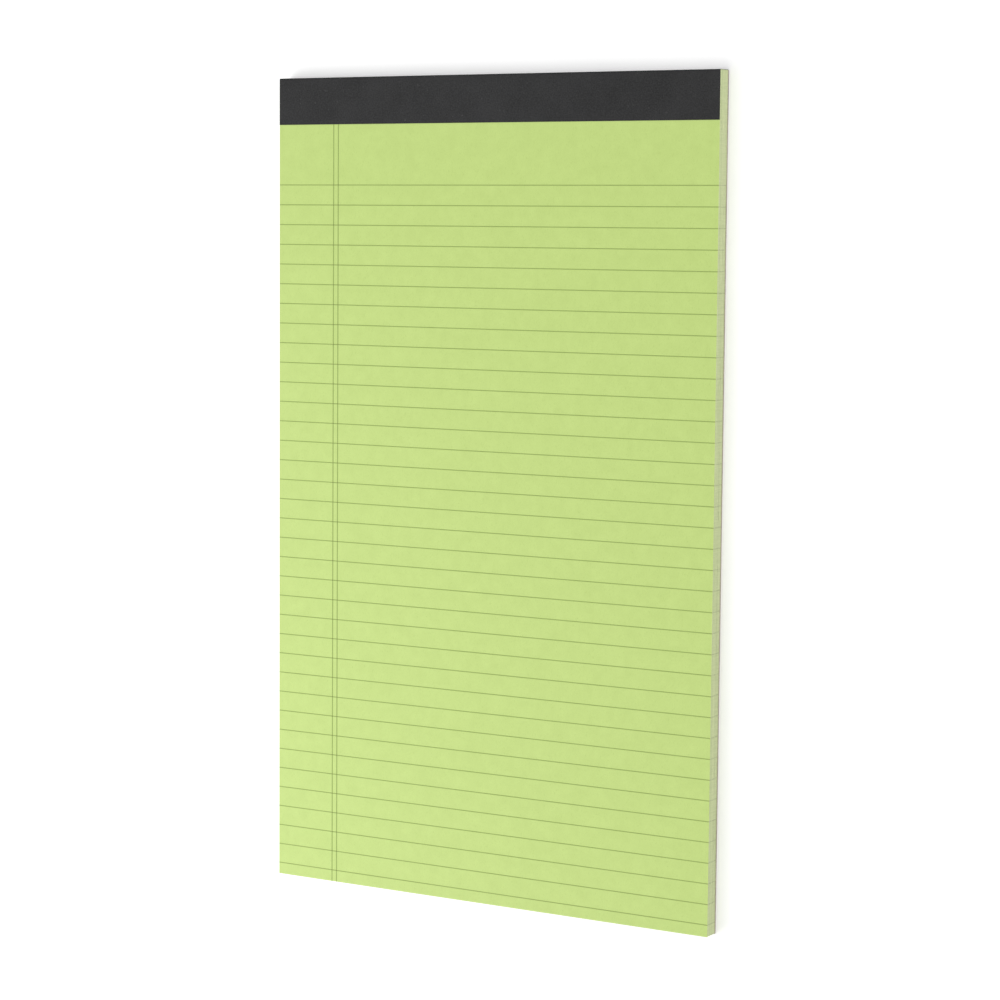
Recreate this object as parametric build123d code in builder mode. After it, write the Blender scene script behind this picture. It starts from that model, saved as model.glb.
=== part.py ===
"""Legal pad: ruled sheets on a chipboard back, stapled at the head under a folded binding tape.

The pad lies on its board with the page up. +X is the page's right, +Y its head, +Z up.
The origin is at the centre of the pad's footprint, on the surface that it lies on.
"""
import os

from build123d import *

# Sheets, in millimetres: 8.5 by 14 inch pages, and the height of one sheet with the air above it
sheet_width = 215.9
sheet_length = 355.6
sheet_count = 50
sheet_pitch = 0.135

# Chipboard back
board_thickness = 0.8

# Binding tape, folded round the head of the block; each flap is measured from the outside of the fold
tape_thickness = 0.15
front_flap = 20.3
back_flap = 20.3
fold_radius = 0.4

# Wire staples, driven from the page and clinched on the board
staple_count = 3
staple_spacing = 72.0
staple_inset = 9.0
staple_crown = 12.0
staple_clinch = 4.0
wire_thickness = 0.4
wire_width = 0.6
wire_bend = 0.5
wire_clearance = 0.03

# Printed ruling: writing lines from edge to edge, and a double margin line on the left
first_line_drop = 46.4
line_pitch = 8.69
line_width = 0.4
margin_inset = 28.7
margin_gap = 2.4
margin_line_width = 0.46
ink_thickness = 0.02

# Levels and edges that follow from the sizes above
stack_height = sheet_count * sheet_pitch
page_level = board_thickness + stack_height
head_edge = (sheet_length - tape_thickness) / 2
tail_edge = head_edge - sheet_length
page_centre = (head_edge + tail_edge) / 2
tape_head = head_edge + tape_thickness
tape_front_edge = tape_head - front_flap
tape_back_edge = tape_head - back_flap

# Line through the middle of a staple's wire, in its own X and Z, from clinch to clinch
crown_level = page_level - wire_thickness / 2
clinch_level = tape_thickness + wire_thickness / 2
leg_place = (staple_crown - wire_thickness) / 2
clinch_end = leg_place - staple_clinch
staple_route = [
    (-clinch_end, clinch_level),
    (-leg_place, clinch_level),
    (-leg_place, crown_level),
    (leg_place, crown_level),
    (leg_place, clinch_level),
    (clinch_end, clinch_level),
]
staple_plane = Plane.XZ.offset(-(head_edge - staple_inset))
staple_places = [(staple_spacing * (i - (staple_count - 1) / 2), 0) for i in range(staple_count)]

# Side view of one staple's wire, and of the room that it takes up in paper and board
with BuildSketch() as staple_shape:
    with BuildLine():
        FilletPolyline(*staple_route, radius=wire_bend)
    trace(line_width=wire_thickness)

with BuildSketch() as room_shape:
    with BuildLine():
        FilletPolyline(*staple_route, radius=wire_bend)
    trace(line_width=wire_thickness + 2 * wire_clearance)

# Wire staples in a row along the head, and the pockets for them
with BuildPart() as staples:
    with BuildSketch(staple_plane):
        with Locations(*staple_places):
            add(staple_shape.sketch)
    extrude(amount=wire_width / 2, both=True)

with BuildPart() as staple_room:
    with BuildSketch(staple_plane):
        with Locations(*staple_places):
            add(room_shape.sketch)
    extrude(amount=wire_width / 2 + wire_clearance, both=True)

# Block of sheets: its front head edge is rounded where the tape is pulled over it
with BuildPart() as paper_sheets:
    with BuildSketch(Plane.XY.offset(board_thickness)):
        with Locations((0, page_centre)):
            Rectangle(sheet_width, sheet_length)
    extrude(amount=stack_height)
    page_edges = paper_sheets.edges().filter_by(Axis.X).group_by(Axis.Z)[-1]
    fillet(page_edges.sort_by(Axis.Y)[-1], radius=fold_radius)
    add(staple_room.part, mode=Mode.SUBTRACT)

# Chipboard: pressed in by the tape's thickness under the back flap, so that the pad lies flat
with BuildPart() as backing_board:
    with BuildSketch():
        with Locations((0, page_centre)):
            Rectangle(sheet_width, sheet_length)
    extrude(amount=board_thickness)
    with BuildSketch():
        with Locations((0, tape_back_edge)):
            Rectangle(sheet_width, back_flap, align=(Align.CENTER, Align.MIN))
    extrude(amount=tape_thickness, mode=Mode.SUBTRACT)
    head_edges = backing_board.edges().filter_by(Axis.X).group_by(Axis.Y)[-1]
    fillet(head_edges.sort_by(Axis.Z)[0], radius=fold_radius)
    add(staple_room.part, mode=Mode.SUBTRACT)

# Binding tape: one strip of even thickness from the page, round the head, to the board
with BuildPart() as binding_tape:
    with BuildSketch(Plane.YZ):
        with BuildLine():
            FilletPolyline(
                (tape_front_edge, page_level + tape_thickness / 2),
                (head_edge + tape_thickness / 2, page_level + tape_thickness / 2),
                (head_edge + tape_thickness / 2, tape_thickness / 2),
                (tape_back_edge, tape_thickness / 2),
                radius=fold_radius + tape_thickness / 2,
            )
        trace(line_width=tape_thickness)
    extrude(amount=sheet_width / 2, both=True)

# Ruling: writing lines down to the tail, crossed by the margin lines that run out from under the tape
line_count = int((sheet_length - first_line_drop) // line_pitch) + 1
line_places = [(0, head_edge - first_line_drop - i * line_pitch) for i in range(line_count)]
margin_length = tape_front_edge - tail_edge
margin_left = margin_inset - sheet_width / 2
margin_places = [(margin_left, tail_edge), (margin_left + margin_gap, tail_edge)]
with BuildPart() as page_ruling:
    with BuildSketch(Plane.XY.offset(page_level)):
        with Locations(*line_places):
            Rectangle(sheet_width, line_width)
        with Locations(*margin_places):
            Rectangle(margin_line_width, margin_length, align=(Align.CENTER, Align.MIN))
    extrude(amount=ink_thickness)

os.makedirs("parts", exist_ok=True)

paper_sheets.part.label = "paper_sheets"
export_step(paper_sheets.part, "parts/paper_sheets.step")

backing_board.part.label = "backing_board"
export_step(backing_board.part, "parts/backing_board.step")

binding_tape.part.label = "binding_tape"
export_step(binding_tape.part, "parts/binding_tape.step")

staples.part.label = "staples"
export_step(staples.part, "parts/staples.step")

page_ruling.part.label = "page_ruling"
export_step(page_ruling.part, "parts/page_ruling.step")
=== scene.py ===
"""Looks of a legal pad that lies on its board with the page up.

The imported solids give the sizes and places. The sheets, their print and the folded tape are
built again as fine meshes, while the board and the staples keep their solids under new finishes.
Lengths are metres: +X is the page's right, +Y its bound head and +Z up out of the page.
"""
import logging
import math
import random
from abc import ABC, abstractmethod
from dataclasses import dataclass
from enum import Enum
from functools import partial
from typing import Callable, Sequence

import bpy
from mathutils import Color, Matrix, Vector, noise


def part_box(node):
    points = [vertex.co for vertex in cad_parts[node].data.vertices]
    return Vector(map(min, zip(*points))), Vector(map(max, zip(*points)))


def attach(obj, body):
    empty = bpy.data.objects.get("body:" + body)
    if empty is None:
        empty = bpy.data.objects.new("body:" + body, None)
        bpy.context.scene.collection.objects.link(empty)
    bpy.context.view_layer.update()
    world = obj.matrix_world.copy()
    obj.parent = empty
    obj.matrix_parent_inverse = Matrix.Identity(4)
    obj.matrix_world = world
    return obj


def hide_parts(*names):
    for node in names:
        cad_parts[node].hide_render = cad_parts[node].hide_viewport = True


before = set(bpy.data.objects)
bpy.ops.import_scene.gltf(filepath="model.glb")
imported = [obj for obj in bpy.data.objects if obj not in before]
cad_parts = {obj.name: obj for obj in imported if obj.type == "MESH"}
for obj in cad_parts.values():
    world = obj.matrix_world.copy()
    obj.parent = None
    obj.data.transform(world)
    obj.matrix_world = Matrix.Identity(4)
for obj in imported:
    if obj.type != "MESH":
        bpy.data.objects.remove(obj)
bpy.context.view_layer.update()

LOG = logging.getLogger("legal_pad")
BODY = "root"
MM = 0.001
FULL_CHANNEL = 255.0
WHITE = (1.0, 1.0, 1.0, 1.0)
QUARTER_TURN = 90.0

# A point of the pad, a place on the page, and a point of a section with its outward normal
Point = tuple[float, float, float]
Spot = tuple[float, float]
SectionPoint = tuple[Vector, Vector]
Socket = bpy.types.NodeSocket


class Node(Enum):
    """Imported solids, by name."""

    SHEETS = "paper_sheets"
    BOARD = "backing_board"
    TAPE = "binding_tape"
    STAPLES = "staples"
    RULING = "page_ruling"


class Slot(Enum):
    """Material slots of the record, named in the log beside the new pieces."""

    PAPER = "green_paper"
    TAPE = "black_tape"
    INK = "ruling_ink"


class Trim(Enum):
    """Trimmed edges of a sheet, by the way they face across and along the page."""

    LEFT = (-1, 0)
    RIGHT = (1, 0)
    TAIL = (0, -1)


class Skin(Enum):
    """Which side of a slab a point lies on."""

    UNDER = 0
    UPPER = 1


class Coat(Enum):
    """Which of a piece's finishes a face wears."""

    FIRST = 0
    SECOND = 1


@dataclass(frozen=True)
class Tint:
    """A colour as a screen shows it, from 0 to 255 in each channel."""

    red: float
    green: float
    blue: float

    def linear(self) -> tuple[float, float, float, float]:
        """Return the colour in linear light, opaque."""
        screen = Color((self.red, self.green, self.blue)) / FULL_CHANNEL
        return (*screen.from_srgb_to_scene_linear(), 1.0)


@dataclass(frozen=True)
class Grain:
    """Noise in a surface: the size of its largest features, and the octaves of finer ones on top.

    The stretch says how much longer the features are along each axis.
    """

    size: float
    detail: float = 3.0
    stretch: Point = (1.0, 1.0, 1.0)


@dataclass(frozen=True)
class Flecks:
    """Scattered marks of one tint, none where their noise is below start and most above end."""

    tint: Tint
    grain: Grain
    cover: float
    start: float
    end: float


class Recipe:
    """Node tree of one material, with short calls for what the finishes share."""

    def __init__(self, name: str) -> None:
        """Start a material with its own principled shader.

        Args:
            name: Name of the material.
        """
        self.material = bpy.data.materials.new(name)
        self.material.use_nodes = True
        self.nodes = self.material.node_tree.nodes
        self.links = self.material.node_tree.links
        self.shader = next(node for node in self.nodes if node.type == "BSDF_PRINCIPLED")
        self.place = self.nodes.new("ShaderNodeTexCoord").outputs["Object"]

    def set(self, socket: str, value: float) -> None:
        """Set a shader socket that is the same all over the surface."""
        self.shader.inputs[socket].default_value = value

    def feed(self, socket: str, source: Socket) -> None:
        """Drive a shader socket from a node."""
        self.links.new(source, self.shader.inputs[socket])

    def noise(self, grain: Grain) -> Socket:
        """Add soft noise.

        Args:
            grain: Its features.

        Returns:
            Noise around one half, mostly between 0.3 and 0.7.
        """
        mapping = self.nodes.new("ShaderNodeMapping")
        mapping.inputs["Scale"].default_value = [1.0 / (grain.size * length) for length in grain.stretch]
        self.links.new(self.place, mapping.inputs["Vector"])
        texture = self.nodes.new("ShaderNodeTexNoise")
        texture.inputs["Scale"].default_value = 1.0
        texture.inputs["Detail"].default_value = grain.detail
        self.links.new(mapping.outputs["Vector"], texture.inputs["Vector"])
        return texture.outputs[0]

    def spread(
        self, source: Socket, low: float, high: float, start: float = 0.3, end: float = 0.7
    ) -> Socket:
        """Map a stretch of noise to a range of values, held at its ends.

        Args:
            source: Noise to map.
            low: Value at the start of the stretch.
            high: Value at its end.
            start: Noise at which the stretch starts.
            end: Noise at which it ends.

        Returns:
            The mapped value.
        """
        node = self.nodes.new("ShaderNodeMapRange")
        node.inputs["From Min"].default_value = start
        node.inputs["From Max"].default_value = end
        node.inputs["To Min"].default_value = low
        node.inputs["To Max"].default_value = high
        self.links.new(source, node.inputs["Value"])
        return node.outputs["Result"]

    def mean(self, first: Socket, second: Socket, share: float) -> Socket:
        """Mix two noises.

        Args:
            first: One noise.
            second: The other noise.
            share: How much of the second there is, from 0 to 1.

        Returns:
            The mixed noise.
        """
        node = self.nodes.new("ShaderNodeMix")
        node.inputs["Factor"].default_value = share
        self.links.new(first, node.inputs["A"])
        self.links.new(second, node.inputs["B"])
        return node.outputs["Result"]

    def colours(
        self, source: Socket, low: Tint, high: Tint, start: float = 0.35, end: float = 0.65
    ) -> Socket:
        """Turn noise into colours from one tint to another.

        Args:
            source: Noise to read.
            low: Tint where the noise is low.
            high: Tint where it is high.
            start: Noise up to which the low tint holds.
            end: Noise from which the high tint holds.

        Returns:
            The colour.
        """
        node = self.nodes.new("ShaderNodeValToRGB")
        for element, position, tint in zip(node.color_ramp.elements, (start, end), (low, high)):
            element.position = position
            element.color = tint.linear()
        self.links.new(source, node.inputs["Fac"])
        return node.outputs["Color"]

    def fleck(self, ground: Socket, flecks: Flecks) -> Socket:
        """Scatter flecks over a ground colour.

        Args:
            ground: Colour under the flecks.
            flecks: The marks to scatter.

        Returns:
            The flecked colour.
        """
        cover = self.spread(self.noise(flecks.grain), 0.0, flecks.cover, flecks.start, flecks.end)
        node = self.nodes.new("ShaderNodeMix")
        node.data_type = "RGBA"
        colour_a, colour_b = (socket for socket in node.inputs if socket.type == "RGBA")
        colour_b.default_value = flecks.tint.linear()
        self.links.new(cover, node.inputs["Factor"])
        self.links.new(ground, colour_a)
        return next(socket for socket in node.outputs if socket.type == "RGBA")

    def relief(self, *layers: tuple[Socket, float]) -> None:
        """Raise the surface by noises, coarse ones first.

        Args:
            layers: Noises, each with the height between its low and high places.
        """
        normal = None
        for source, height in layers:
            node = self.nodes.new("ShaderNodeBump")
            node.inputs["Distance"].default_value = height
            self.links.new(source, node.inputs["Height"])
            if normal is not None:
                self.links.new(normal, node.inputs["Normal"])
            normal = node.outputs["Normal"]
        self.feed("Normal", normal)


@dataclass(frozen=True)
class PaperFinish:
    """Dyed, uncoated writing paper: soft clouds in the sheet, short fibres and a dull surface."""

    name: str = "green_writing_paper"
    pale: Tint = Tint(195, 219, 123)
    deep: Tint = Tint(187, 211, 115)
    clouds: Grain = Grain(5.0 * MM, detail=2.0)
    fibres: Grain = Grain(0.5 * MM, detail=5.0, stretch=(0.5, 1.0, 1.0))
    fibre_share: float = 0.6
    stray_fibres: Flecks = Flecks(
        tint=Tint(172, 199, 98),
        grain=Grain(0.35 * MM, detail=1.0, stretch=(0.6, 3.0, 1.0)),
        cover=0.5,
        start=0.62,
        end=0.72,
    )
    cloud_height: float = 0.004 * MM
    fibre_height: float = 0.03 * MM
    smooth: float = 0.46
    dull: float = 0.62
    gloss: float = 0.7

    def material(self) -> bpy.types.Material:
        """Mix the finish.

        Returns:
            Its material.
        """
        recipe = Recipe(self.name)
        clouds = recipe.noise(self.clouds)
        fibres = recipe.noise(self.fibres)
        ground = recipe.colours(recipe.mean(clouds, fibres, self.fibre_share), self.deep, self.pale)
        recipe.feed("Base Color", recipe.fleck(ground, self.stray_fibres))
        recipe.feed("Roughness", recipe.spread(fibres, self.smooth, self.dull))
        recipe.relief((clouds, self.cloud_height), (fibres, self.fibre_height))
        recipe.set("Specular IOR Level", self.gloss)
        return recipe.material


@dataclass(frozen=True)
class TrimmedEdgeFinish:
    """Cut edge of the sheets: greyer than the page, in layers, and lightly scored by the knife."""

    name: str = "trimmed_sheet_edge"
    pale: Tint = Tint(218, 226, 179)
    deep: Tint = Tint(195, 206, 155)
    deep_until: float = 0.38
    pale_from: float = 0.62
    layers: Grain = Grain(0.16 * MM, detail=1.0, stretch=(200.0, 200.0, 1.0))
    batches: Grain = Grain(0.9 * MM, detail=1.0, stretch=(200.0, 200.0, 1.0))
    batch_share: float = 0.5
    scores: Grain = Grain(0.5 * MM, detail=4.0, stretch=(1.0, 1.0, 12.0))
    score_share: float = 0.3
    score_height: float = 0.01 * MM
    roughness: float = 0.85

    def material(self) -> bpy.types.Material:
        """Mix the finish.

        Returns:
            Its material.
        """
        recipe = Recipe(self.name)
        layers = recipe.mean(recipe.noise(self.layers), recipe.noise(self.batches), self.batch_share)
        scores = recipe.noise(self.scores)
        shade = recipe.mean(layers, scores, self.score_share)
        colour = recipe.colours(shade, self.deep, self.pale, self.deep_until, self.pale_from)
        recipe.feed("Base Color", colour)
        recipe.relief((scores, self.score_height))
        recipe.set("Roughness", self.roughness)
        return recipe.material


@dataclass(frozen=True)
class InkFinish:
    """Printed line: thin olive ink that covers the paper's fibres a little unevenly."""

    name: str = "ruling_ink"
    full: Tint = Tint(141, 164, 81)
    thin: Tint = Tint(152, 174, 91)
    patches: Grain = Grain(2.5 * MM, detail=2.0)
    specks: Grain = Grain(0.25 * MM)
    speck_share: float = 0.4
    speck_height: float = 0.006 * MM
    roughness: float = 0.7

    def material(self) -> bpy.types.Material:
        """Mix the finish.

        Returns:
            Its material.
        """
        recipe = Recipe(self.name)
        specks = recipe.noise(self.specks)
        cover = recipe.mean(recipe.noise(self.patches), specks, self.speck_share)
        recipe.feed("Base Color", recipe.colours(cover, self.thin, self.full))
        recipe.relief((specks, self.speck_height))
        recipe.set("Roughness", self.roughness)
        return recipe.material


@dataclass(frozen=True)
class TapeFinish:
    """Charcoal binding paper: a fine pressed grain, a low sheen and a few faint scuffs."""

    name: str = "charcoal_binding_tape"
    dark: Tint = Tint(19, 19, 20)
    light: Tint = Tint(42, 42, 43)
    clouds: Grain = Grain(14.0 * MM, detail=2.0)
    press: Grain = Grain(0.6 * MM, detail=2.0)
    press_share: float = 0.6
    scuffs: Flecks = Flecks(
        tint=Tint(72, 72, 72), grain=Grain(1.6 * MM, detail=4.0), cover=0.5, start=0.66, end=0.78
    )
    cloud_height: float = 0.02 * MM
    press_height: float = 0.09 * MM
    smooth: float = 0.38
    dull: float = 0.48
    gloss: float = 0.26

    def material(self) -> bpy.types.Material:
        """Mix the finish.

        Returns:
            Its material.
        """
        recipe = Recipe(self.name)
        clouds = recipe.noise(self.clouds)
        press = recipe.noise(self.press)
        ground = recipe.colours(recipe.mean(clouds, press, self.press_share), self.dark, self.light)
        recipe.feed("Base Color", recipe.fleck(ground, self.scuffs))
        recipe.feed("Roughness", recipe.spread(clouds, self.smooth, self.dull))
        recipe.relief((clouds, self.cloud_height), (press, self.press_height))
        recipe.set("Specular IOR Level", self.gloss)
        return recipe.material


@dataclass(frozen=True)
class ChipboardFinish:
    """Grey-brown chipboard: felted waste fibres with dark flecks."""

    name: str = "grey_chipboard"
    pale: Tint = Tint(182, 172, 154)
    deep: Tint = Tint(150, 140, 125)
    felt: Grain = Grain(2.0 * MM, detail=4.0)
    fibres: Grain = Grain(0.6 * MM, detail=4.0, stretch=(2.5, 0.7, 0.7))
    fibre_share: float = 0.5
    flecks: Flecks = Flecks(
        tint=Tint(105, 96, 85), grain=Grain(0.9 * MM), cover=0.8, start=0.66, end=0.74
    )
    felt_height: float = 0.02 * MM
    fibre_height: float = 0.03 * MM
    roughness: float = 0.9

    def material(self) -> bpy.types.Material:
        """Mix the finish.

        Returns:
            Its material.
        """
        recipe = Recipe(self.name)
        felt = recipe.noise(self.felt)
        fibres = recipe.noise(self.fibres)
        ground = recipe.colours(recipe.mean(felt, fibres, self.fibre_share), self.deep, self.pale)
        recipe.feed("Base Color", recipe.fleck(ground, self.flecks))
        recipe.relief((felt, self.felt_height), (fibres, self.fibre_height))
        recipe.set("Roughness", self.roughness)
        return recipe.material


@dataclass(frozen=True)
class WireFinish:
    """Bright staple wire, drawn lengthwise."""

    name: str = "drawn_staple_wire"
    bright: Tint = Tint(205, 205, 208)
    dim: Tint = Tint(176, 176, 180)
    draw_lines: Grain = Grain(0.12 * MM, stretch=(20.0, 1.0, 1.0))
    smooth: float = 0.22
    dull: float = 0.4
    metallic: float = 1.0

    def material(self) -> bpy.types.Material:
        """Mix the finish.

        Returns:
            Its material.
        """
        recipe = Recipe(self.name)
        draw_lines = recipe.noise(self.draw_lines)
        recipe.feed("Base Color", recipe.colours(draw_lines, self.dim, self.bright))
        recipe.feed("Roughness", recipe.spread(draw_lines, self.smooth, self.dull))
        recipe.set("Metallic", self.metallic)
        return recipe.material


@dataclass(frozen=True)
class FloorFinish:
    """Matt white studio floor, lit faintly from below, with hardly any mottle."""

    name: str = "white_studio_floor"
    pale: Tint = Tint(252, 252, 252)
    deep: Tint = Tint(250, 250, 250)
    mottle: Grain = Grain(60.0 * MM)
    roughness: float = 0.95
    gloss: float = 0.0
    glow: float = 0.22

    def material(self) -> bpy.types.Material:
        """Mix the finish.

        Returns:
            Its material.
        """
        recipe = Recipe(self.name)
        recipe.feed("Base Color", recipe.colours(recipe.noise(self.mottle), self.deep, self.pale))
        recipe.set("Roughness", self.roughness)
        recipe.set("Specular IOR Level", self.gloss)
        recipe.set("Emission Strength", self.glow)
        return recipe.material


class MeshDraft:
    """Points and faces of one piece, gathered before they become an object."""

    def __init__(self) -> None:
        """Start with nothing."""
        self.points: list[Point] = []
        self.faces: list[tuple[int, ...]] = []
        self.coats: list[int] = []

    def face(self, corners: Sequence[int], coat: Coat = Coat.FIRST) -> None:
        """Add one face, its corners in order round its outer side."""
        self.faces.append(tuple(corners))
        self.coats.append(coat.value)

    def slab(
        self,
        across: Sequence[float],
        along: Sequence[float],
        place: Callable[[float, float, Skin], Point],
        column_coats: Sequence[Coat] = (),
        edge_coat: Coat = Coat.FIRST,
    ) -> None:
        """Add a closed slab over a grid.

        Args:
            across: Running values across the slab, from left to right.
            along: Running values along it.
            place: Gives the point for a value across, a value along and a side.
            column_coats: Finish of each column's upper cells, the first one if none is given.
            edge_coat: Finish of the faces round the edge.
        """
        first = len(self.points)
        for skin in Skin:
            self.points += [place(u, v, skin) for v in along for u in across]
        columns = len(across) - 1
        rows = len(along) - 1
        upper_coats = column_coats or [Coat.FIRST] * columns

        def at(i: int, j: int, skin: Skin) -> int:
            """Return the number of a grid point."""
            return first + (skin.value * (rows + 1) + j) * (columns + 1) + i

        def wall(a: tuple[int, int], b: tuple[int, int]) -> None:
            """Add one face of the edge, from a to b with the slab on the left."""
            corners = [(a, Skin.UNDER), (b, Skin.UNDER), (b, Skin.UPPER), (a, Skin.UPPER)]
            self.face([at(*corner, skin) for corner, skin in corners], edge_coat)

        for j in range(rows):
            for i in range(columns):
                corners = [(i, j), (i + 1, j), (i + 1, j + 1), (i, j + 1)]
                self.face([at(*corner, Skin.UPPER) for corner in corners], upper_coats[i])
                self.face([at(*corner, Skin.UNDER) for corner in reversed(corners)])
            wall((0, j + 1), (0, j))
            wall((columns, j), (columns, j + 1))
        for i in range(columns):
            wall((i, 0), (i + 1, 0))
            wall((i + 1, rows), (i, rows))

    def card(self, outline: Sequence[Spot], level: Callable[[float, float, float], float]) -> None:
        """Add a thin closed card with one large face on each side.

        Args:
            outline: Corners seen from above, anticlockwise.
            level: Gives the level at a place, by the share of the thickness from the underside.
        """
        first = len(self.points)
        count = len(outline)
        for skin in Skin:
            self.points += [(x, y, level(x, y, skin.value)) for x, y in outline]
        self.face([first + count + k for k in range(count)])
        self.face([first + k for k in reversed(range(count))])
        for k in range(count):
            after = (k + 1) % count
            self.face((first + k, first + after, first + count + after, first + count + k))

    def to_object(
        self, name: str, *materials: bpy.types.Material, smooth_below: float = 0.0
    ) -> bpy.types.Object:
        """Make the piece.

        Args:
            name: Name of the piece.
            materials: Its finishes, in the order of its coats.
            smooth_below: Largest angle between faces that is shaded smooth, in degrees.

        Returns:
            The new object, in the scene.
        """
        mesh = bpy.data.meshes.new(name)
        mesh.from_pydata(self.points, [], self.faces)
        for material in materials:
            mesh.materials.append(material)
        mesh.polygons.foreach_set("material_index", self.coats)
        if smooth_below > 0.0:
            mesh.polygons.foreach_set("use_smooth", [True] * len(self.faces))
            mesh.set_sharp_from_angle(angle=math.radians(smooth_below))
        mesh.validate()
        mesh.update()
        piece = bpy.data.objects.new(name, mesh)
        bpy.context.scene.collection.objects.link(piece)
        return piece


def steps(start: float, end: float, count: int) -> list[float]:
    """Return count + 1 evenly spaced values from start to end."""
    return [start + (end - start) * k / count for k in range(count + 1)]


def unit_noise(at: Vector) -> float:
    """Return smooth noise at a place, from 0 to 1."""
    return 0.5 + 0.5 * noise.noise(at)


def seat(piece: bpy.types.Object, slot: Slot, *nodes: Node) -> None:
    """Tie a piece to the pad's one body and report it.

    Args:
        piece: New piece.
        slot: Slot named beside it in the log.
        nodes: Solids that it stands for.
    """
    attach(piece, BODY)
    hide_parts(*(node.value for node in nodes))
    LOG.info("%s: %d faces, slot %s", piece.name, len(piece.data.polygons), slot.value)


def dress_solid(node: Node, material: bpy.types.Material) -> None:
    """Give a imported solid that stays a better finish.

    Args:
        node: The solid.
        material: Its new finish.
    """
    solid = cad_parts[node.value]
    for slot in solid.material_slots:
        slot.material = material
    LOG.info("%s: solid kept, finish %s", node.value, material.name)


@dataclass(frozen=True)
class LinePlan:
    """Places of the printed lines: writing lines across the page and two margin lines down it."""

    left: float
    right: float
    tail: float
    head: float
    first_drop: float = 46.4 * MM
    pitch: float = 8.69 * MM
    line_width: float = 0.4 * MM
    margin_inset: float = 28.7 * MM
    margin_gap: float = 2.4 * MM
    margin_width: float = 0.46 * MM

    def lines(self) -> list[float]:
        """Return the place along the page of each writing line, from the tail up."""
        count = int((self.head - self.first_drop - self.tail) // self.pitch) + 1
        return [self.head - self.first_drop - k * self.pitch for k in reversed(range(count))]

    def margins(self) -> tuple[float, float]:
        """Return the place across the page of each margin line."""
        return (self.left + self.margin_inset, self.left + self.margin_inset + self.margin_gap)

    def line_sides(self, middle: float) -> tuple[float, float]:
        """Return both sides of a writing line, by the place of its middle."""
        return (middle - self.line_width / 2, middle + self.line_width / 2)

    def margin_sides(self, middle: float) -> tuple[float, float]:
        """Return both sides of a margin line, by the place of its middle."""
        return (middle - self.margin_width / 2, middle + self.margin_width / 2)


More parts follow.
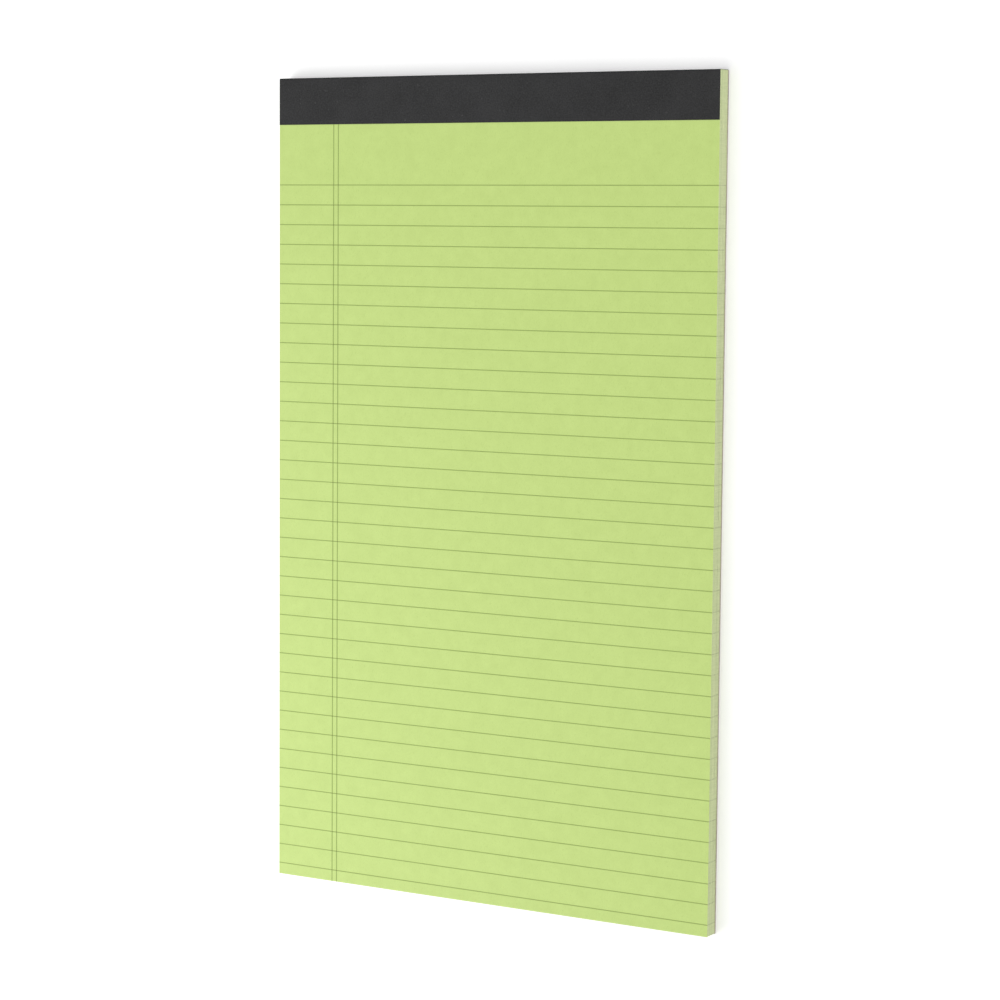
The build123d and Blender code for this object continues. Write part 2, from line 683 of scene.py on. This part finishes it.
@dataclass
class PaperBlock:
    """Fifty loose sheets, trimmed together: one fine front page on plainer sheets."""

    low: Vector
    high: Vector
    tape_edge: float
    plan: LinePlan

    # Sheets, and how much the air under one can differ from another's
    sheet_count: int = 50
    sheet_thickness: float = 0.1 * MM
    gap_range: tuple[float, float] = (0.3, 1.7)
    fold_radius: float = 0.4 * MM

    # Trimmed edges: how far batches and sheets are set back, and where in the noise their waves lie
    batch_size: int = 9
    batch_play: float = 0.07 * MM
    sheet_play: float = 0.03 * MM
    edge_wander: float = 0.02 * MM
    wander_length: float = 25.0 * MM
    side_row: float = 7.3
    tail_row: float = 3.1
    sheet_row: float = 0.1
    corner_wear: float = 0.2 * MM

    # Curl at the tail, less in its middle, and ripples that grow from the tape down
    tail_lift: float = 0.09 * MM
    middle_lift: float = 0.4
    curl_power: int = 3
    settle_power: int = 3
    ripple: float = 0.03 * MM
    ripple_length: float = 70.0 * MM
    ripple_growth: float = 3.0

    # Cells of the front page, and points along an inner sheet's edges
    page_columns: int = 30
    page_rows: int = 48
    edge_columns: int = 12
    edge_rows: int = 40

    # Ends of the printed lines on the trimmed edges
    ink_depth: float = 0.008 * MM
    mark_span: tuple[float, float] = (0.1, 0.9)
    print_play: float = 0.12 * MM
    faint_share: float = 0.25
    edge_ink: InkFinish = InkFinish("edge_ink", full=Tint(164, 172, 129), thin=Tint(180, 189, 143))
    seed: int = 14

    def __post_init__(self) -> None:
        """Draw how loosely the sheets lie and how unevenly they were trimmed."""
        draw = random.Random(self.seed)
        self.levels = self.draw_levels(draw)
        self.play = self.draw_play(draw)

    def draw_levels(self, draw: random.Random) -> list[float]:
        """Share out the air in the block.

        Args:
            draw: Source of random numbers.

        Returns:
            The level of each sheet's underside, from the board up.
        """
        gaps = [draw.uniform(*self.gap_range) for _ in range(self.sheet_count)]
        air = self.high.z - self.low.z - self.sheet_count * self.sheet_thickness
        levels = []
        level = self.low.z
        for gap in gaps:
            level += air * gap / sum(gaps)
            levels.append(level)
            level += self.sheet_thickness
        return levels

    def draw_play(self, draw: random.Random) -> list[dict[Trim, float]]:
        """Set back the trimmed edges, batch by batch and a little by sheet.

        Args:
            draw: Source of random numbers.

        Returns:
            For each sheet from the board up, how far each of its edges is set back.
        """
        play = []
        for sheet in range(self.sheet_count):
            if sheet % self.batch_size == 0:
                batch = {trim: draw.uniform(self.ink_depth, self.batch_play) for trim in Trim}
            # The square leaves most sheets close to their batch
            play.append({trim: batch[trim] + self.sheet_play * draw.random() ** 2 for trim in Trim})
        return play

    def rise(self, x: float, y: float, sheet: int) -> float:
        """Return how far a sheet stands above its flat place.

        Args:
            x: Place across the page.
            y: Place along the page.
            sheet: Number of the sheet, from the board up.

        Returns:
            The height, none under the tape and most at the tail of the front page.
        """
        share = (sheet + 1) / self.sheet_count
        down = min(max((self.tape_edge - y) / (self.tape_edge - self.low.y), 0.0), 1.0)
        corner = self.middle_lift + (1.0 - self.middle_lift) * (x / self.high.x) ** 2
        curl = self.tail_lift * corner * down ** self.curl_power
        wave = unit_noise(Vector((x, y, 0.0)) / self.ripple_length)
        ripples = self.ripple * wave * min(self.ripple_growth * down, 1.0)
        return share ** self.settle_power * (curl + ripples)

    def page_level(self, x: float, y: float) -> float:
        """Return the level of the front page's printed side."""
        return self.high.z + self.rise(x, y, self.sheet_count - 1)

    def page_point(self, x: float, y: float, skin: Skin) -> Point:
        """Return a point of the front page, on its printed side or its underside."""
        depth = self.sheet_thickness if skin is Skin.UNDER else 0.0
        return (x, y, self.page_level(x, y) - depth)

    def sheet_level(self, sheet: int, x: float, y: float, share: float) -> float:
        """Return a level within a sheet, by the share of its thickness from its underside."""
        return self.levels[sheet] + share * self.sheet_thickness + self.rise(x, y, sheet)

    def head_of(self, sheet: int) -> float:
        """Return where a sheet ends at the head.

        Args:
            sheet: Number of the sheet, from the board up.

        Returns:
            Its place along the page, set back where the tape's fold rounds the block.
        """
        depth = max(self.high.z - self.levels[sheet] - self.sheet_thickness, 0.0)
        if depth >= self.fold_radius:
            return self.high.y
        reach = math.sqrt(self.fold_radius ** 2 - (self.fold_radius - depth) ** 2)
        return self.high.y - self.fold_radius + reach

    def edge_of(self, trim: Trim, sheet: int, along: float, proud: float = 0.0) -> Spot:
        """Return a point of a sheet's trimmed edge.

        Args:
            trim: The edge.
            sheet: Number of the sheet, from the board up.
            along: Place along the edge.
            proud: How far the point stands out from the edge.

        Returns:
            Its place across and along the page.
        """
        out_x, out_y = trim.value
        row = self.side_row * out_x + self.tail_row * out_y
        at = Vector((along / self.wander_length, row, self.sheet_row * sheet))
        back = self.play[sheet][trim] + self.edge_wander * unit_noise(at) - proud
        if trim is Trim.TAIL:
            return (along, self.low.y + back)
        return (self.low.x + back if trim is Trim.LEFT else self.high.x - back, along)

    def mark_point(self, sheet: int, trim: Trim, along: float, share: float, skin: Skin) -> Point:
        """Return a point of a printed line's end.

        Args:
            sheet: Number of the sheet, from the board up.
            trim: Edge that the line runs out to.
            along: Place along the edge.
            share: Share of the sheet's thickness from its underside.
            skin: Upper for just outside the edge, under for just inside it.

        Returns:
            The point.
        """
        proud = self.ink_depth if skin is Skin.UPPER else -self.ink_depth
        x, y = self.edge_of(trim, sheet, along, proud)
        return (x, y, self.sheet_level(sheet, x, y, share))

    def build_inner_sheets(self) -> MeshDraft:
        """Make every sheet but the front page.

        Returns:
            The sheets, each a thin card.
        """
        draft = MeshDraft()
        across = steps(self.low.x + self.corner_wear, self.high.x - self.corner_wear, self.edge_columns)
        for sheet in range(self.sheet_count - 1):
            along = steps(self.low.y + self.corner_wear, self.head_of(sheet), self.edge_rows)
            outline = [self.edge_of(Trim.TAIL, sheet, x) for x in across]
            outline += [self.edge_of(Trim.RIGHT, sheet, y) for y in along]
            outline += [self.edge_of(Trim.LEFT, sheet, y) for y in reversed(along)]
            draft.card(outline, partial(self.sheet_level, sheet))
        return draft

    def build_front_page(self) -> MeshDraft:
        """Make the front page, fine enough to take the paper's slight waves.

        Returns:
            The page, with the second finish on its edges.
        """
        draft = MeshDraft()
        across = steps(self.low.x, self.high.x, self.page_columns)
        along = steps(self.low.y, self.head_of(self.sheet_count - 1), self.page_rows)
        draft.slab(across, along, self.page_point, edge_coat=Coat.SECOND)
        return draft

    def build_edge_marks(self) -> MeshDraft:
        """Make the ends of the printed lines on the trimmed edges of the inner sheets.

        Returns:
            The marks, some of them left out where the print is faint.
        """
        draft = MeshDraft()
        draw = random.Random(self.seed)
        ends = []
        for trim in (Trim.LEFT, Trim.RIGHT):
            ends += [(trim, y, self.plan.line_width) for y in self.plan.lines()]
        ends += [(Trim.TAIL, x, self.plan.margin_width) for x in self.plan.margins()]
        for sheet in range(self.sheet_count - 1):
            shift = draw.uniform(-self.print_play, self.print_play)
            for trim, middle, width in ends:
                if draw.random() < self.faint_share:
                    continue
                # Seen from outside, left to right on the left edge is towards the tail
                side = -width / 2 if trim is Trim.LEFT else width / 2
                across = (middle + shift - side, middle + shift + side)
                draft.slab(across, self.mark_span, partial(self.mark_point, sheet, trim))
        return draft

    def dress(self) -> None:
        """Build the pieces in their finishes."""
        paper = PaperFinish().material()
        edge = TrimmedEdgeFinish().material()
        mark = self.edge_ink.material()
        seat(self.build_inner_sheets().to_object("inner_sheets", edge), Slot.PAPER, Node.SHEETS)
        seat(self.build_front_page().to_object("front_page", paper, edge), Slot.PAPER, Node.SHEETS)
        seat(self.build_edge_marks().to_object("edge_marks", mark), Slot.INK, Node.SHEETS)


@dataclass
class Ruling:
    """Print on the front page: a thin layer of ink that follows the paper."""

    block: PaperBlock
    plan: LinePlan
    ink_thickness: float = 0.02 * MM
    line_columns: int = 30
    margin_rows: int = 2
    ink: InkFinish = InkFinish()
    double_ink: InkFinish = InkFinish(
        "overprinted_ink", full=Tint(115, 132, 66), thin=Tint(124, 141, 73)
    )

    def ink_point(self, x: float, y: float, skin: Skin) -> Point:
        """Return a point of the ink, on the page or on top of the layer."""
        return (x, y, self.block.page_level(x, y) + skin.value * self.ink_thickness)

    def line_coat(self, x: float) -> Coat:
        """Return the finish of a writing line at a place across the page."""
        crossed = any(abs(x - margin) < self.plan.margin_width / 2 for margin in self.plan.margins())
        return Coat.SECOND if crossed else Coat.FIRST

    def build(self) -> MeshDraft:
        """Make all lines.

        Returns:
            The lines, with the second finish where a margin line is printed over a writing line.
        """
        draft = MeshDraft()
        margins = self.plan.margins()
        crossings = {side for margin in margins for side in self.plan.margin_sides(margin)}
        across = sorted({*steps(self.plan.left, self.plan.right, self.line_columns), *crossings})
        coats = [self.line_coat((start + end) / 2) for start, end in zip(across, across[1:])]

        # Margin lines are printed in stretches, from one writing line to the next
        stations = [self.plan.tail]
        for line in self.plan.lines():
            draft.slab(across, self.plan.line_sides(line), self.ink_point, coats)
            stations += self.plan.line_sides(line)
        stations.append(self.block.tape_edge)
        for margin in margins:
            for start, end in zip(stations[::2], stations[1::2]):
                along = steps(start, end, self.margin_rows)
                draft.slab(self.plan.margin_sides(margin), along, self.ink_point)
        return draft

    def dress(self) -> None:
        """Build the print in its finishes."""
        inks = (self.ink.material(), self.double_ink.material())
        seat(self.build().to_object("page_ruling_ink", *inks), Slot.INK, Node.RULING)


@dataclass
class BindingTape:
    """One strip of binding paper, folded over the head from the front page to the board."""

    low: Vector
    high: Vector
    thickness: float
    fold_radius: float = 0.4 * MM
    flap_rows: int = 34
    fold_rows: int = 7
    spine_rows: int = 8
    columns: int = 200
    sink: float = 0.02 * MM
    sink_length: float = 9.0 * MM
    smooth_below: float = 40.0

    @property
    def bend(self) -> float:
        """Return the outer radius of a fold."""
        return self.fold_radius + self.thickness

    def fold(self, level: float, start: float) -> list[SectionPoint]:
        """Return the outer line of one fold, a quarter turn downwards.

        Args:
            level: Height of its centre.
            start: Angle at which it starts, in degrees up from the spine's outward normal.

        Returns:
            Points and outward normals, in Y and Z.
        """
        centre = Vector((self.high.y - self.bend, level))
        line = []
        for angle in steps(start, start - QUARTER_TURN, self.fold_rows):
            normal = Vector((math.cos(math.radians(angle)), math.sin(math.radians(angle))))
            line.append((centre + self.bend * normal, normal))
        return line

    def section(self) -> list[SectionPoint]:
        """Return the strip's outer line, from the front flap's edge round the head to the back flap's.

        Returns:
            Points and outward normals, in Y and Z.
        """
        turn = self.high.y - self.bend
        upper = self.high.z - self.bend
        lower = self.low.z + self.bend
        front = Vector((0.0, 1.0))
        spine = Vector((1.0, 0.0))
        line = [(Vector((y, self.high.z)), front) for y in steps(self.low.y, turn, self.flap_rows)]
        line += self.fold(upper, QUARTER_TURN)[1:]
        line += [(Vector((self.high.y, z)), spine) for z in steps(upper, lower, self.spine_rows)[1:-1]]
        line += self.fold(lower, 0.0)
        line += [(Vector((y, self.low.z)), -front) for y in steps(turn, self.low.y, self.flap_rows)[1:]]
        return line

    def strip_point(self, section: Sequence[SectionPoint], x: float, row: float, skin: Skin) -> Point:
        """Return a point of the strip.

        Args:
            section: The strip's outer line.
            x: Place across the page.
            row: Number of the point on that line.
            skin: Upper for the outer side, which is pressed in unevenly, and under for the glued one.

        Returns:
            The point.
        """
        outer, normal = section[int(row)]
        depth = self.thickness
        if skin is Skin.UPPER:
            depth = self.sink * unit_noise(Vector((x, outer.x, outer.y)) / self.sink_length)
        spot = outer - depth * normal
        return (x, spot.x, spot.y)

    def build(self) -> MeshDraft:
        """Make the strip.

        Returns:
            The strip, closed all round.
        """
        draft = MeshDraft()
        section = self.section()
        across = steps(self.low.x, self.high.x, self.columns)
        draft.slab(across, range(len(section)), partial(self.strip_point, section))
        return draft

    def dress(self) -> None:
        """Build the strip in its finish."""
        tape = TapeFinish().material()
        piece = self.build().to_object("folded_tape", tape, smooth_below=self.smooth_below)
        seat(piece, Slot.TAPE, Node.TAPE)


@dataclass(frozen=True)
class StudioLight(ABC):
    """A light that is turned to the pad and hidden from the camera."""

    name: str
    place: Point

    @abstractmethod
    def data(self) -> bpy.types.Light:
        """Return the light's own data."""

    def hang(self) -> None:
        """Put the light in the scene."""
        lamp = bpy.data.objects.new(self.name, self.data())
        lamp.location = self.place
        lamp.rotation_euler = (-Vector(self.place)).to_track_quat("-Z", "Y").to_euler()
        lamp.visible_camera = False
        bpy.context.scene.collection.objects.link(lamp)
        LOG.info("%s: hung", self.name)


@dataclass(frozen=True)
class Softbox(StudioLight):
    """A rectangular light close to the pad."""

    width: float
    height: float
    watts: float

    def data(self) -> bpy.types.Light:
        """Set up the light.

        Returns:
            An area light of the box's size.
        """
        light = bpy.data.lights.new(self.name, "AREA")
        light.shape = "RECTANGLE"
        light.size = self.width
        light.size_y = self.height
        light.energy = self.watts
        return light


@dataclass(frozen=True)
class Skylight(StudioLight):
    """A broad, even light from one side of the sky, its spread in degrees."""

    spread: float
    strength: float

    def data(self) -> bpy.types.Light:
        """Set up the light.

        Returns:
            A distant light as wide as its spread.
        """
        light = bpy.data.lights.new(self.name, "SUN")
        light.angle = math.radians(self.spread)
        light.energy = self.strength
        return light


@dataclass
class Studio:
    """White floor, white surroundings and soft light, strongest from the page's left."""

    floor_half: float = 8.0
    floor_cells: int = 8
    floor_thickness: float = 10.0 * MM
    floor_gap: float = 0.05 * MM
    surround: float = 0.38
    lights: tuple[StudioLight, ...] = (
        Softbox("key_softbox", (-0.5, -0.26, 0.45), width=0.8, height=0.4, watts=2.15),
        Softbox("side_softbox", (1.25, 0.65, 0.36), width=0.8, height=0.6, watts=6.25),
        Skylight("broad_skylight", (-0.2, -0.1, 1.0), spread=80.0, strength=1.16),
    )

    def floor_point(self, x: float, y: float, skin: Skin) -> Point:
        """Return a point of the floor, just under the pad or at the bottom of the slab."""
        depth = self.floor_thickness if skin is Skin.UNDER else 0.0
        return (x, y, -self.floor_gap - depth)

    def lay_floor(self) -> None:
        """Lay the floor, which is no part of the pad."""
        draft = MeshDraft()
        stations = steps(-self.floor_half, self.floor_half, self.floor_cells)
        draft.slab(stations, stations, self.floor_point)
        floor = draft.to_object("studio_floor", FloorFinish().material())

    def whiten_surroundings(self) -> None:
        """Put an even white all round, and show colours as they are."""
        world = bpy.data.worlds.new("white_studio")
        world.use_nodes = True
        background = next(node for node in world.node_tree.nodes if node.type == "BACKGROUND")
        background.inputs["Color"].default_value = WHITE
        background.inputs["Strength"].default_value = self.surround
        bpy.context.scene.world = world
        bpy.context.scene.view_settings.view_transform = "Standard"

    def build(self) -> None:
        """Lay the floor and set the light."""
        self.lay_floor()
        self.whiten_surroundings()
        for light in self.lights:
            light.hang()


@dataclass
class PageCamera:
    """Camera that looks down on the page at the photograph's angle, its angles in degrees."""

    eye: Point = (0.6251, 0.11693, 1.04735)
    turn: float = -30.75
    tilt: float = 5.61
    roll: float = -0.46
    focal_pixels: float = 2855.8
    frame_pixels: float = 1000.0
    sensor: float = 36.0

    def axes(self) -> Matrix:
        """Turn the camera to the page.

        Returns:
            Its right, upward and backward directions, as a rotation.
        """
        turn = math.radians(self.turn)
        tilt = math.radians(self.tilt)
        roll = math.radians(self.roll)
        ahead = Vector((
            math.sin(turn) * math.cos(tilt),
            -math.sin(tilt),
            -math.cos(turn) * math.cos(tilt),
        ))
        level = Vector((math.cos(turn), 0.0, math.sin(turn)))
        down = ahead.cross(level)
        right = math.cos(roll) * level + math.sin(roll) * down
        below = math.cos(roll) * down - math.sin(roll) * level
        return Matrix((right, -below, -ahead)).transposed().to_4x4()

    def place(self) -> None:
        """Put the camera in the scene and make it the one that renders."""
        data = bpy.data.cameras.new("page_camera")
        data.sensor_width = self.sensor
        data.lens = self.sensor * self.focal_pixels / self.frame_pixels
        camera = bpy.data.objects.new("page_camera", data)
        camera.matrix_world = Matrix.Translation(self.eye) @ self.axes()
        bpy.context.scene.collection.objects.link(camera)
        bpy.context.scene.camera = camera
        LOG.info("camera: lens %.1f mm", data.lens)


def main() -> None:
    """Build the pad piece by piece, then the studio and the camera."""
    logging.basicConfig(level=logging.INFO, format="%(name)s %(message)s")
    sheets_low, sheets_high = (Vector(corner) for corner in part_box(Node.SHEETS.value))
    tape_low, tape_high = (Vector(corner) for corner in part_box(Node.TAPE.value))
    plan = LinePlan(sheets_low.x, sheets_high.x, sheets_low.y, sheets_high.y)
    block = PaperBlock(sheets_low, sheets_high, tape_low.y, plan)
    block.dress()
    Ruling(block, plan).dress()
    BindingTape(tape_low, tape_high, tape_high.z - sheets_high.z).dress()
    dress_solid(Node.BOARD, ChipboardFinish().material())
    dress_solid(Node.STAPLES, WireFinish().material())
    Studio().build()
    PageCamera().place()


if __name__ == "__main__":
    main()
